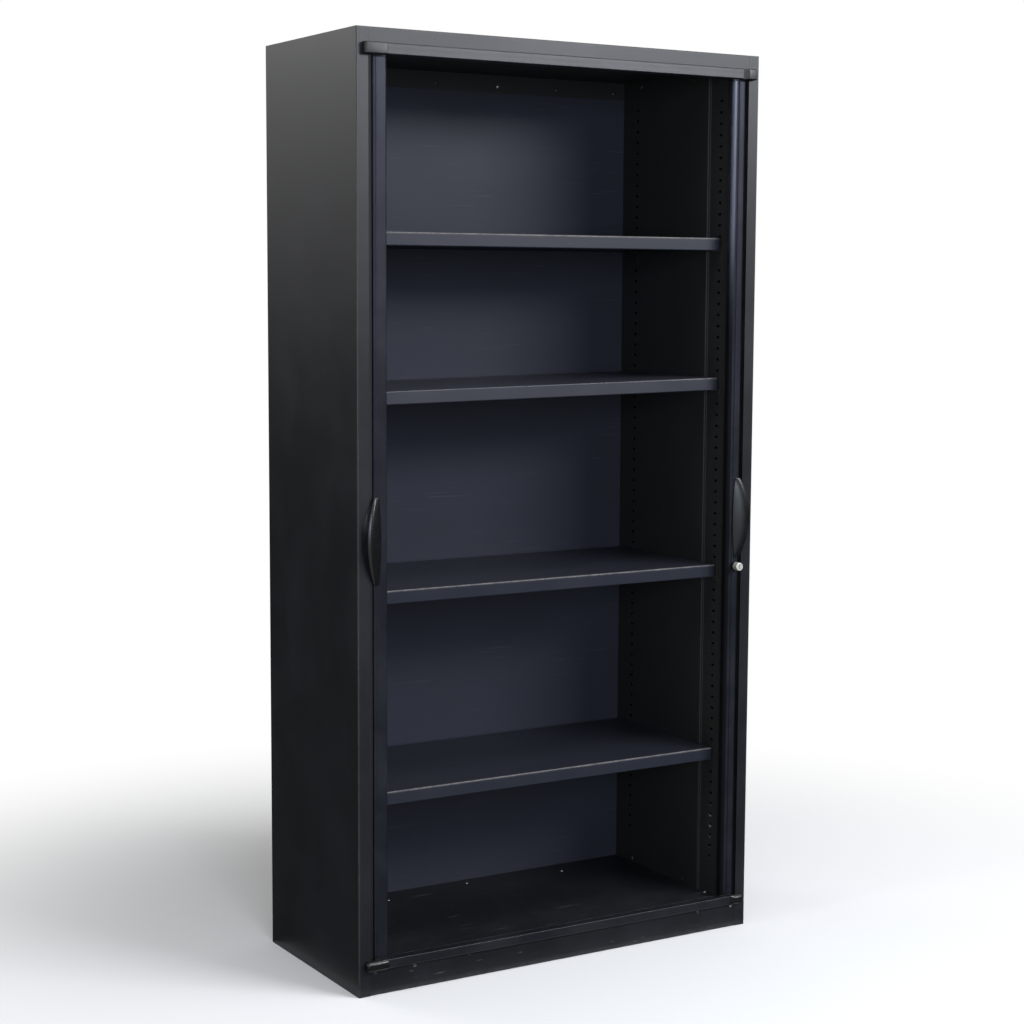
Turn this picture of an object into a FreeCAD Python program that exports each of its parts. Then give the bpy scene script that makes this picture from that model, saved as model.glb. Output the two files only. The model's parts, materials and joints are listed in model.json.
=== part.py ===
import FreeCAD, Part
import os
from math import asin, cos, pi, sin, sqrt, tan

V = FreeCAD.Vector

# Tall office cupboard with two tambour doors, drawn open: each door is a curtain of
# interlocking slats that runs round a front corner into a pocket beside the shelves.
# All sizes are in mm. While drawing, y = 0 is the front plane and y grows to the back;
# put() moves every piece so that the origin lies on the floor below the middle of the whole.

# carcass
width, depth, height = 1000.0, 430.0, 1980.0
sheet = 1.0                  # steel sheet
bend = 1.0                   # inside radius of its folds
flange = 27.0                # front return of a side panel
side_return = 20.0           # rear and bottom return of a side panel
seam = 0.3                   # visible seam between two sheets that are not welded
fascia = 30.0                # top front strip
plinth_height = 55.0
stiffener = 15.0             # short flange that stiffens the edge of a sheet
flange_inset = 1.0           # hidden flanges stop this far short of the visible edge
back_play = 2.0              # edge of the back panel to the sides and the top
floor_rise = 15.0            # floor of the lowest compartment above the base
floor_play = 1.0             # edge of the floor to the inner panels
ceiling_flange = 40.0        # rear flange of the ceiling, riveted to the back

# shelf space
pocket = 70.0                # outside of a side to the rear part of an inner panel
recess = 7.0                 # the front part of an inner panel stands this much further out
recess_depth = 90.0
panel_front = 20.0
panel_return = 12.0
hole_pitch = 25.0
hole_foot, hole_head = 88.0, 60.0    # first hole above the floor, last one below the ceiling
hole_wide, hole_high = 10.0, 5.0
hole_front, hole_rear = 52.0, 58.0   # rows of holes from the front and from the back panel
shelf_steps = (18, 52, 85, 111)      # places of the shelves in half pitches
shelf_slants = (0, 0, 1, 0)  # the right-hand clips hang this many half pitches higher
shelf_front = 40.0
shelf_rear_play = 8.0
shelf_lip = 28.0
shelf_play = 2.0
lip_return = 12.0
clip_sheet = 1.5
clip_wide = 18.0
clip_ledge = 14.0            # reach under the shelf
clip_foot, clip_head = 3.0, 11.0     # plate past the hole near the ledge, and past the other hole
clip_play = 0.5
clip_tongue = 2.5

# tambour track
track_wall = 1.5
track_web = 2.0
slot_half = 5.0              # half the width of the slot
curtain_y = 8.0              # middle of the curtain behind the front plane
track_inset = 8.0            # outside of a side to the middle of the curtain
corner_radius = 30.0
track_end_gap = 4.0
rail_proud = 10.0
top_rail_height, bottom_rail_height = 22.5, 20.0
rail_nose = 3.0
cap_inset, cap_wide = 13.0, 37.0     # outside of a side to the cap's end, and its length
cap_proud = 16.0
cap_bulge, cap_swell = 4.0, 45.0     # its face swells by this much, with this radius
cap_round, cap_inner_round = 8.0, 4.0
cap_edge = 3.0
cap_extra = 1.5              # a cap is this much taller than its rail
cap_lap, cap_play = 15.0, 0.2        # a left-hand cap laps over the rail's end, with this clearance

# slats
slat_pitch = 21.6
slat_half = 2.0              # half its thickness
slat_bead, slat_socket, slat_ring = 1.6, 1.9, 2.6
slat_neck = 0.6
slat_start = 5.0             # plate begins this far from its bead
slat_mouth = 62.0            # half the opening of the socket, in degrees
slat_overlap = 0.4           # plate into ring
slat_top_play, slat_foot_play = 5.0, 0.3
bead_play = 0.4              # first bead to the post's outer wall
bead_slot = (-0.9, 1.9)      # slot for its neck, from the curtain's middle
bead_room = 1.4              # the end fittings stay this far from the first bead

# leading posts
post_wide = 32.0
door_gap = 10.5              # dark gap between a post and the side's flange, door open
post_wall, post_front_wall = 2.0, 3.5
post_nose, post_round, post_edge = 6.0, 3.0, 1.0
groove_at, groove_wide, groove_deep = 14.0, 3.5, 1.5
step_wide, step_deep = 6.0, 1.0
post_play = 1.0              # gap between a post's end fitting and the rail
shoe_flange = 2.0
shoe_spigot = 15.0
shoe_slot_play = 0.5
shoe_play = 0.2

# handle
handle_middle, handle_half = 953.0, 89.5
handle_set = 16.5            # leading edge of the post to the handle's inner edge
handle_taper = 5.0           # the inner edge draws back this much at the tips
handle_over = 2.1            # the tips pass the post's outer edge by this much
handle_bow = 25.4            # and the middle bows out by this much more
handle_edge = 2.5            # height of the inner edge
# height of the rim at its rounded ends, beside them, and what the middle adds
handle_tip, handle_rise, handle_swell = 4.0, 6.0, 12.0
handle_lean = 6.0            # the rim stands back from the foot of the bow by this much
handle_crown, handle_spread = 5.0, 8.0    # width of the rounded crown at the tips, and what the middle adds
handle_dome = 0.1            # share of the height that the crown falls to its edges
handle_scoop = 3.5           # hollow of the finger side
handle_scoop_least = 0.2
handle_clear = 1.0           # gap to the flange behind the bow
handle_seat = 1.0            # the foot stops this far from the post's outer edge

# lock
lock_drop = 21.0             # foot of the handle to the lock's axis
collar_wide, collar_deep = 21.0, 8.0
barrel_wide, barrel_deep = 18.5, 14.0
barrel_chamfer = 1.0
plug_wide, plug_play = 13.0, 0.3
plug_set = 0.5               # face of the plug behind the face of the barrel
plug_gap = 1.0               # end of the plug to the post
key_wide, key_high, key_deep = 2.0, 9.0, 5.0
spindle = 5.5
spindle_gap = 0.15           # spindle to the first bead
hook_past = 13.0             # reach past the leading edge when locked
hook_wide, hook_thick = 10.0, 2.5
hook_nose, hook_bill, hook_slope = 3.0, 5.0, 2.0
hook_round, hook_tip_round = 4.0, 2.0
hook_gap, hook_room = 1.2, 0.7       # to the first bead and to the post's rear wall
hook_play = 0.6
hook_bore_play = 0.1
hook_swing_play, hook_catch = 2.4, 1.5    # free ends of the slots
keeper_thick, keeper_play, keeper_margin = 1.5, 0.5, 12.0

# fixings
rivet_head, rivet_rise, rivet_shank, rivet_tail = 8.0, 1.5, 4.0, 3.0
drill_play = 0.1
back_rivet_count, back_rivet_edge, back_rivet_drop = 6, 30.0, 25.0
floor_rivet_side, floor_rivet_rear = 195.0, 54.5
floor_rivet_off, floor_rivet_last = 12.4, 26.3     # the middle one: off the centre line, and from the back
floor_rivet_front, floor_rivet_edge = 61.0, 6.0
screw_edge, screw_step, screw_drop = 12.0, 93.0, 6.5
angle_leg, angle_rise = 15.0, 30.0
angle_front_gap, angle_rear_gap = 30.0, 28.0
wall_rivet_front, wall_rivet_rear = 30.0, 44.0
wall_rivet_low, wall_rivet_high = 24.0, 14.0
edge_rivet_in, edge_rivet_end = 9.0, 36.0

half = width / 2
inside = half - sheet
back_face = depth - 2 * sheet
opening_edge = half - flange
base_top = plinth_height
floor_top = base_top + floor_rise
ceiling = height - fascia
bay = half - pocket
hole_first = floor_top + hole_foot
hole_count = int((ceiling - hole_head - hole_first) / hole_pitch) + 1
hole_rows = (hole_front, back_face - hole_rear)
shelf_back = back_face - shelf_rear_play
track_x = half - track_inset
corner_x = track_x - corner_radius
corner_y = curtain_y + corner_radius
slot_out = slot_half + track_wall
track_end = back_face - track_end_gap
top_slot_mouth = ceiling - top_rail_height
bottom_slot_mouth = plinth_height + bottom_rail_height
cap_out = half - cap_inset
cap_in = cap_out - cap_wide
slat_low = plinth_height + track_web + slat_foot_play
slat_high = ceiling - track_web - slat_top_play
post_out = opening_edge - door_gap
post_in = post_out - post_wide
post_low = bottom_slot_mouth + post_play + shoe_flange
post_high = top_slot_mouth - post_play - shoe_flange
first_bead = post_out - post_wall - bead_play - slat_bead
lock_x = first_bead - slat_bead - spindle_gap - spindle / 2
lock_z = handle_middle - handle_half - lock_drop
hook_y = curtain_y + slat_bead + hook_gap
hook_reach = lock_x - post_in + hook_past
hook_corner = hook_reach ** 2 + (hook_wide / 2 + hook_nose) ** 2
hook_sweep = sqrt(hook_corner - (lock_x - post_in - post_wall) ** 2) + hook_swing_play
post_deep = hook_y + hook_thick + hook_room + post_wall
middle_y = (depth - collar_deep - barrel_deep) / 2
angle_from = recess_depth + angle_front_gap
angle_to = back_face - angle_rear_gap


def plan(a, b):
    return V(a, b, 0)


def section(a, b):
    return V(0, a, b)


def face(points, lift=plan):
    """Face inside a closed outline. A third number on a point is the radius of that corner."""
    spots = [V(p[0], p[1], 0) for p in points]
    turns = []
    for i, spot in enumerate(spots):
        radius = points[i][2] if len(points[i]) > 2 else 0
        if not radius:
            turns.append([spot])
            continue
        before = (spots[i - 1] - spot).normalize()
        after = (spots[(i + 1) % len(spots)] - spot).normalize()
        half_angle = before.getAngle(after) / 2
        reach = radius / tan(half_angle)
        middle = (before + after).normalize() * (radius / sin(half_angle) - radius)
        turns.append([spot + before * reach, spot + middle, spot + after * reach])
    edges = []
    for i, turn in enumerate(turns):
        turn = [lift(p.x, p.y) for p in turn]
        start = turns[i - 1][-1]
        start = lift(start.x, start.y)
        if start.distanceToPoint(turn[0]) > 1e-6:
            edges.append(Part.makeLine(start, turn[0]))
        if len(turn) == 3:
            edges.append(Part.Arc(*turn).toShape())
    return Part.Face(Part.Wire(edges))


def folded(points):
    """Outline of a folded sheet from the line of one face, with the sheet on the left of the walk."""
    line = [V(x, y, 0) for x, y in points]
    steps = [(b - a).normalize() for a, b in zip(line, line[1:])]
    lefts = [V(-s.y, s.x, 0) for s in steps]
    there = [(line[0].x, line[0].y)]
    start = line[0] + lefts[0] * sheet
    back = [(start.x, start.y)]
    for i in range(1, len(line) - 1):
        mitre = (lefts[i - 1] + lefts[i]) * (sheet / (1 + lefts[i - 1].dot(lefts[i])))
        turns_left = steps[i - 1].cross(steps[i]).z > 0
        near, far = (bend + sheet, bend) if turns_left else (bend, bend + sheet)
        there.append((line[i].x, line[i].y, near))
        inner = line[i] + mitre
        back.append((inner.x, inner.y, far))
    there.append((line[-1].x, line[-1].y))
    end = line[-1] + lefts[-1] * sheet
    back.append((end.x, end.y))
    return there + back[::-1]


def upright(points, z0, z1):
    """Prism with a plan outline, between two heights."""
    return moved(face(points).extrude(V(0, 0, z1 - z0)), 0, 0, z0)


def along(points, x0, x1):
    """Prism with an outline in y and z, between two places in x."""
    return moved(face(points, section).extrude(V(x1 - x0, 0, 0)), x0, 0, 0)


def block(x0, x1, y0, y1, z0, z1):
    return Part.makeBox(x1 - x0, y1 - y0, z1 - z0, V(x0, y0, z0))


def rod(x, z, y0, y1, diameter):
    """Round bar along y."""
    return Part.makeCylinder(diameter / 2, y1 - y0, V(x, y0, z), V(0, 1, 0))


def moved(shape, x, y, z):
    result = shape.copy()
    result.translate(V(x, y, z))
    return result


def joined(*shapes):
    return shapes[0].multiFuse(list(shapes[1:])).removeSplitter()


def less(shape, cutters):
    return shape.cut(Part.makeCompound(list(cutters)))


def mirrored(shape):
    return shape.mirror(V(0, 0, 0), V(1, 0, 0))


def put(name, *solids):
    """Export one node with the origin below the middle of the cupboard."""
    shape = solids[0] if len(solids) == 1 else Part.makeCompound(list(solids))
    moved(shape, 0, -middle_y, 0).exportStep("parts/" + name + ".step")


def pair(name, *solids):
    """Export a right-hand node and its mirror image."""
    put(name + "_right", *solids)
    put(name + "_left", *[mirrored(s) for s in solids])


# carcass

def side_panel():
    """Folded side with its front flange, rear return and bottom return."""
    line = [(opening_edge, 0), (half, 0), (half, depth), (half - side_return, depth)]
    foot = block(half - side_return, inside, sheet, depth - sheet, 0, sheet)
    return joined(upright(folded(line), 0, height), foot)


def top_panel():
    """Top sheet whose front is folded down as the fascia between the two flanges."""
    edge = opening_edge - seam
    line = [(0, ceiling), (0, height), (stiffener, height)]
    front = along(flipped(line), -edge, edge)
    plate = block(-inside, inside, sheet + seam, depth - sheet, height - sheet, height)
    sides = [block(x, x + sheet, stiffener, back_face - stiffener, height - stiffener, height - sheet)
             for x in (-inside, inside - sheet)]
    rear = block(-bay, bay, back_face - sheet, back_face, height - stiffener, height - sheet)
    return joined(plate, front, rear, *sides)


def flipped(points):
    """Folded outline with the sheet on the right of the walk."""
    return [(-p[0], *p[1:]) for p in folded([(-y, z) for y, z in points])]


def ceiling_panel(rivets):
    """Ceiling of the shelf space, with flanges to the fascia, the sides and the back."""
    low, high = ceiling, ceiling + stiffener - 2 * sheet
    hidden = opening_edge - flange_inset
    plate = block(-inside, inside, sheet + seam, back_face, low, low + sheet)
    front = block(-hidden, hidden, sheet, 2 * sheet, low, high)
    sides = [block(x, x + sheet, stiffener, back_face - stiffener, low, high)
             for x in (-inside, inside - sheet)]
    rear = block(-bay + flange_inset, bay - flange_inset, back_face - sheet, back_face,
                 low - ceiling_flange, low + sheet)
    return less(joined(plate, front, rear, *sides), rivets)


def base_panel(rivets):
    """Structural base that carries the tracks, the inner panels and the floor."""
    low = base_top - stiffener
    hidden = opening_edge - flange_inset
    plate = block(-inside, inside, sheet + seam, back_face, base_top - sheet, base_top)
    front = block(-hidden, hidden, sheet, 2 * sheet, low, base_top)
    rear = block(-bay, bay, back_face - sheet, back_face, low, base_top)
    sides = [block(x, x + sheet, stiffener, back_face - stiffener, low, base_top)
             for x in (-inside, inside - sheet)]
    return less(joined(plate, front, rear, *sides), rivets)


def floor_panel(rivets):
    """Raised floor of the lowest compartment, wider in the recess behind the posts."""
    front = curtain_y + slot_out
    wide, narrow = bay + recess - floor_play, bay - floor_play
    step = recess_depth - floor_play
    outline = [(-wide, front), (wide, front), (wide, step), (narrow, step), (narrow, back_face),
               (-narrow, back_face), (-narrow, step), (-wide, step)]
    plate = upright(outline, floor_top - sheet, floor_top)
    lips = [block(-wide, wide, front, front + sheet, base_top, floor_top),
            block(-narrow, narrow, back_face - sheet, back_face, base_top, floor_top)]
    for x in (-narrow, narrow - sheet):
        lips.append(block(x, x + sheet, step, back_face, base_top, floor_top))
    return less(joined(plate, *lips), rivets)


def plinth(screws):
    """Front strip below the bottom rail, folded back along the floor."""
    edge = opening_edge - seam
    line = [(side_return, 0), (0, 0), (0, plinth_height)]
    return less(along(flipped(line), -edge, edge), screws)


def back_panel(rivets):
    edge = inside - back_play
    plate = block(-edge, edge, back_face, back_face + sheet, sheet + back_play, height - back_play)
    return less(plate, rivets)


def inner_panel(rivets):
    """Folded wall between the shelves and a curtain pocket, with two rows of shelf holes."""
    front = bay + recess
    line = [(bay, back_face), (bay, recess_depth), (front, recess_depth), (front, panel_front),
            (front + panel_return, panel_front)]
    wall = upright(folded(line), base_top, ceiling)
    cutters = list(rivets)
    for x, row in zip((front, bay), hole_rows):
        for k in range(hole_count):
            z = hole_first + k * hole_pitch
            cutters.append(block(x - sheet, x + 2 * sheet, row - hole_wide / 2, row + hole_wide / 2,
                                 z - hole_high / 2, z + hole_high / 2))
    return less(wall, cutters)


def angle(z, up, rivets):
    """Angle in the pocket that joins an inner panel to the base or the ceiling."""
    x = bay + sheet
    low, high = (z, z + sheet) if up > 0 else (z - sheet, z)
    level = block(x, x + angle_leg, angle_from, angle_to, low, high)
    leg_low, leg_high = (z, z + angle_rise) if up > 0 else (z - angle_rise, z)
    leg = block(x, x + sheet, angle_from, angle_to, leg_low, leg_high)
    return less(joined(level, leg), rivets)


# tambour track

def band(inner, outer):
    """Plan strip beside the curtain's path, between two distances measured outwards from it."""
    def course(offset):
        radius = corner_radius + offset
        start = V(cap_in, curtain_y - offset, 0)
        turn = V(corner_x, curtain_y - offset, 0)
        middle = V(corner_x + radius * sin(pi / 4), corner_y - radius * cos(pi / 4), 0)
        straight = V(corner_x + radius, corner_y, 0)
        end = V(corner_x + radius, track_end, 0)
        edges = [Part.makeLine(start, turn), Part.Arc(turn, middle, straight).toShape(),
                 Part.makeLine(straight, end)]
        return start, end, edges
    a_start, a_end, a_edges = course(inner)
    b_start, b_end, b_edges = course(outer)
    edges = a_edges + [Part.makeLine(a_end, b_end)] + b_edges[::-1] + [Part.makeLine(b_start, a_start)]
    return Part.Face(Part.Wire(Part.__sortEdges__(edges)))


def side_track(web_low, web_high, wall_low, wall_high):
    """Channel from a rail's end round the corner and along the pocket."""
    def strip(inner, outer, low, high):
        return moved(band(inner, outer).extrude(V(0, 0, high - low)), 0, 0, low)
    web = strip(-slot_out, slot_out, web_low, web_high)
    walls = [strip(side - track_wall / 2, side + track_wall / 2, wall_low, wall_high)
             for side in (-slot_half - track_wall / 2, slot_half + track_wall / 2)]
    return joined(web, *walls)


def rail(web, mouth):
    """Front rail: a proud box with a rounded nose, and the slot for the slats behind it."""
    face_y, wall_y = -rail_proud, curtain_y - slot_half
    way = 1 if web > mouth else -1
    lid = mouth + way * track_wall
    shelf = web - way * track_web
    rear = curtain_y + slot_half
    points = [(face_y, mouth, rail_nose / 2), (face_y, web, rail_nose), (curtain_y + slot_out, web),
              (curtain_y + slot_out, mouth), (rear, mouth), (rear, shelf), (wall_y, shelf),
              (wall_y, mouth)]
    hollow = [(face_y + track_web, lid), (face_y + track_web, shelf), (wall_y - track_wall, shelf),
              (wall_y - track_wall, lid)]
    return along(points, -cap_in, cap_in).cut(along(hollow, -cap_in, cap_in))


def corner_cap(low, high, inner):
    """Moulded corner piece that covers the end of a rail and the track behind it."""
    ends = cap_bulge - cap_proud
    outline = [(inner, 0), (inner, ends, cap_inner_round), ((inner + cap_out) / 2, -cap_proud, cap_swell),
               (cap_out, ends, cap_round), (cap_out, 0)]
    cap = upright(outline, low, high)
    rims = [e for e in cap.Edges if abs(e.BoundBox.ZLength) < 1e-6 and e.BoundBox.YMin < -1e-6]
    return cap.makeFillet(cap_edge, rims)


def lapped_cap(low, high, rail_low, rail_high):
    """Left-hand corner piece, cut out behind where it laps over the end of the rail."""
    cap = corner_cap(low, high, cap_in - cap_lap)
    end = block(cap_in - 2 * cap_lap, cap_in + cap_play, -rail_proud - cap_play, cap_proud,
                rail_low - cap_play, rail_high + cap_play)
    return mirrored(cap.cut(end))


# curtain

def path(s):
    """Point at a distance s along the curtain's path from the start of the corner."""
    turn = corner_radius * pi / 2
    if s < 0:
        return V(corner_x + s, curtain_y, 0)
    if s < turn:
        a = s / corner_radius
        return V(corner_x + corner_radius * sin(a), corner_y - corner_radius * cos(a), 0)
    return V(track_x, corner_y + s - turn, 0)


def knuckles():
    """Joints between the slats, each one pitch from the last in a straight line."""
    s = first_bead - corner_x
    points = [path(s)]
    while points[-1].y + slat_pitch + slat_ring < track_end:
        low, high = s, s + 2 * slat_pitch
        for _ in range(50):
            s = (low + high) / 2
            if path(s).distanceToPoint(points[-1]) < slat_pitch:
                low = s
            else:
                high = s
        points.append(path(s))
    return points


def slat():
    """One slat along +x: bead and neck, flat plate, and a socket for the next bead."""
    tall = slat_high - slat_low
    bead = Part.makeCylinder(slat_bead, tall)
    neck = block(0, slat_start + slat_overlap, -slat_neck, slat_neck, 0, tall)
    plate = block(slat_start, slat_pitch - slat_ring + slat_overlap, -slat_half, slat_half, 0, tall)
    ring = Part.makeCylinder(slat_ring, tall).cut(Part.makeCylinder(slat_socket, tall))
    reach = 2 * slat_ring
    open_to = reach * tan(slat_mouth * pi / 180)
    mouth = upright([(0, 0), (reach, -open_to), (reach, open_to)], 0, tall)
    socket = moved(ring.cut(mouth), slat_pitch, 0, 0)
    return joined(bead, neck, plate, socket)


def curtain():
    one = slat()
    points = knuckles()
    slats = []
    for a, b in zip(points, points[1:]):
        turn = FreeCAD.Rotation(V(1, 0, 0), b - a)
        copy = one.copy()
        copy.Placement = FreeCAD.Placement(V(a.x, a.y, slat_low), turn)
        slats.append(copy)
    return slats


# leading posts

def post(grooved, cutters):
    """Hollow post with a rounded leading edge, slots for the hook and for the first slat."""
    front = [(post_in, 0, post_nose)]
    if grooved:
        a, b = post_in + groove_at, post_in + groove_at + groove_wide
        front += [(a, 0), (a, groove_deep), (b, groove_deep), (b, 0), (post_out, 0, post_edge)]
    else:
        a = post_out - step_wide
        front += [(a, 0), (a, step_deep), (post_out, step_deep, post_edge)]
    rear = [(post_out, post_deep, post_edge), (post_in, post_deep, post_round)]
    body = upright(front + rear, post_low, post_high)
    cavity = block(post_in + post_wall, post_out - post_wall, post_front_wall, post_deep - post_wall,
                   post_low, post_high)
    slat_slot = block(post_out - 2 * post_wall, post_out + 1, curtain_y + bead_slot[0],
                      curtain_y + bead_slot[1], post_low, post_high)
    return less(body, [cavity, slat_slot, hook_slot()] + cutters)


def hook_slot():
    """Slot in a leading edge that the hook swings through."""
    return block(post_in - 1, post_in + 2 * post_wall, hook_y - hook_play, hook_y + hook_thick + hook_play,
                 lock_z - hook_sweep, lock_z + hook_wide / 2 + hook_catch)


def shoe(end, way):
    """End fitting of a post: a plug in the tube, a flange, and a tongue that runs in the slot."""
    flange_end = end + way * shoe_flange
    slot_floor = slat_high if way > 0 else slat_low
    outline = [(post_in, 0, post_nose), (post_out, 0, post_edge), (post_out, post_deep, post_edge),
               (post_in, post_deep, post_round)]
    flat = upright(outline, *sorted((end, flange_end)))
    free = first_bead - slat_bead - bead_room
    notch = block(free, post_out + 1, curtain_y - slat_ring, curtain_y + slat_ring, 0, height)
    tongue_half = slot_half - shoe_slot_play
    tongue = block(post_in + post_wall, free, curtain_y - tongue_half, curtain_y + tongue_half,
                   *sorted((end, slot_floor)))
    inset = post_wall + shoe_play
    spigot = block(post_in + inset, free, post_front_wall + shoe_play, post_deep - inset,
                   *sorted((end - way * shoe_spigot, end)))
    return joined(flat.cut(notch), tongue, spigot)


def handle():
    """Bow-shaped pull: a slope from the post up to a rounded crown, with a hollow finger side behind it."""
    stations = (-1.0, -0.97, -0.9, -0.7, -0.35, 0.0, 0.35, 0.7, 0.9, 0.97, 1.0)
    seat = post_out - handle_seat
    wires = []
    for t in stations:
        bow = 1 - t * t
        z = handle_middle + t * handle_half
        near = post_in + handle_set + handle_taper * t * t
        far = post_out + handle_over + handle_bow * bow
        rim = far - handle_lean * bow
        wide = handle_crown + handle_spread * bow
        crest = handle_tip + (handle_rise + handle_swell * bow - handle_tip) * sqrt(1 - t ** 10)
        shoulder = crest * (1 - handle_dome)
        hollow = (far + rim) / 2 - handle_scoop_least - handle_scoop * bow
        line = [V(far, -handle_clear, z), V(seat, -handle_clear, z), V(seat, 0, z), V(near, 0, z),
                V(near, -handle_edge, z), V(rim - wide, -shoulder, z)]
        edges = [Part.makeLine(a, b) for a, b in zip(line, line[1:])]
        outer = V(rim, -shoulder, z)
        edges.append(Part.Arc(line[-1], V(rim - wide / 2, -crest, z), outer).toShape())
        edges.append(Part.Arc(outer, V(hollow, -(shoulder + handle_clear) / 2, z), line[0]).toShape())
        wires.append(Part.Wire(edges))
    return Part.makeLoft(wires, True, False)


# lock

def lock_parts():
    """Collar and barrel on the right post, and the plug with its spindle and hook."""
    tip = -collar_deep - barrel_deep
    bore = rod(lock_x, lock_z, tip, 0, plug_wide + 2 * plug_play)
    collar = rod(lock_x, lock_z, -collar_deep, 0, collar_wide).cut(bore)
    barrel = rod(lock_x, lock_z, tip, -collar_deep, barrel_wide)
    rim = [e for e in barrel.Edges if abs(e.CenterOfMass.y - tip) < 1e-6]
    barrel = barrel.makeChamfer(barrel_chamfer, rim).cut(bore)
    plug = rod(lock_x, lock_z, tip + plug_set, -plug_gap, plug_wide)
    shaft = rod(lock_x, lock_z, -plug_gap, hook_y + hook_thick, spindle)
    key = block(lock_x - key_wide / 2, lock_x + key_wide / 2, tip, tip + key_deep,
                lock_z - key_high / 2, lock_z + key_high / 2)
    w = hook_wide / 2
    tip_x, tip_z = -w - hook_nose, -hook_reach
    bill = tip_z + hook_bill
    hook = [(-w, w, hook_round), (w, w, hook_round), (w, tip_z, hook_tip_round),
            (tip_x, tip_z, hook_tip_round), (tip_x, bill), (-w, bill + hook_slope)]
    plate = face([(lock_x + x, lock_z + z, *r) for x, z, *r in hook], lambda a, b: V(a, hook_y, b))
    eye = rod(lock_x, lock_z, 0, post_deep, spindle + hook_bore_play)
    plate = plate.extrude(V(0, hook_thick, 0)).cut(eye)
    return collar, barrel, joined(plug, shaft).cut(key), plate


def keeper():
    """Plate behind the leading edge of the left post, drawn on the right-hand side."""
    x = post_in + post_wall
    low = lock_z - hook_sweep - keeper_margin
    high = lock_z + hook_wide / 2 + hook_catch + keeper_margin
    plate = block(x, x + keeper_thick, post_front_wall + keeper_play,
                  post_deep - post_wall - keeper_play, low, high)
    return plate.cut(hook_slot())


# shelves

def shelf(top, rise):
    """Folded tray with lips all round, each lip turned in at the bottom; rise lifts its right end."""
    side = bay - shelf_play
    low = top - shelf_lip
    cross = [(shelf_front + lip_return, low), (shelf_front, low), (shelf_front, top), (shelf_back, top),
             (shelf_back, low), (shelf_back - lip_return, low)]
    tray = along(flipped(cross), -side, side)
    ends = []
    for x0, x1 in ((-side, -side + sheet), (side - sheet, side)):
        ends.append(block(x0, x1, shelf_front + 2 * sheet, shelf_back - 2 * sheet, low, top - 0.5 * sheet))
    for x0, x1 in ((-side, -side + lip_return), (side - lip_return, side)):
        ends.append(block(x0, x1, shelf_front + 2 * sheet, shelf_back - 2 * sheet, low, low + sheet))
    slant = asin(rise / (2 * side - clip_ledge))
    result = joined(tray, *ends)
    result.rotate(V(-side, 0, low), V(0, -1, 0), slant * 180 / pi)
    return moved(result, shelf_lip * sin(slant) / 2, 0, 0)


def clip(x, row, step):
    """Shelf clip on the right wall, hooked into two holes; the other way up it sits half a pitch lower."""
    ledge_top = hole_first + hole_pitch / 4 + step * hole_pitch / 2
    way = -1 if step % 2 else 1
    holes = [ledge_top - way * hole_pitch / 4, ledge_top + way * 3 * hole_pitch / 4]
    w = clip_wide / 2
    low, high = sorted((holes[0] - way * clip_foot, holes[1] + way * clip_head))
    plate = block(x - clip_sheet, x, row - w, row + w, low, high)
    ledge = block(bay - shelf_play - clip_ledge, x, row - w, row + w, ledge_top - clip_sheet, ledge_top)
    a, b = hole_wide / 2 - clip_play, hole_high / 2 - clip_play
    tongues = [block(x - clip_sheet, x + clip_tongue, row - a, row + a, z - b, z + b) for z in holes]
    return joined(plate, ledge, *tongues)


# fixings

def rivet(spot, way):
    """Domed head on a face, with a shank through the sheets behind it; way points into the sheets."""
    head = Part.makeCone(rivet_head / 2, rivet_head / 4, rivet_rise, spot, way * -1)
    return joined(head, Part.makeCylinder(rivet_shank / 2, rivet_tail, spot, way))


def drill(spot, way):
    return Part.makeCylinder(rivet_shank / 2 + drill_play, 2 * rivet_tail, spot - way * rivet_tail, way)


def flush_rivet(spot, way, play=0.0):
    """Countersunk rivet, its flat head level with the face; with play, the hole for it."""
    head = Part.makeCone(rivet_head / 2 + play, rivet_shank / 2 + play, sheet, spot, way)
    return joined(head, Part.makeCylinder(rivet_shank / 2 + play, rivet_tail, spot, way))


def both(x):
    return (-x, x)


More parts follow.
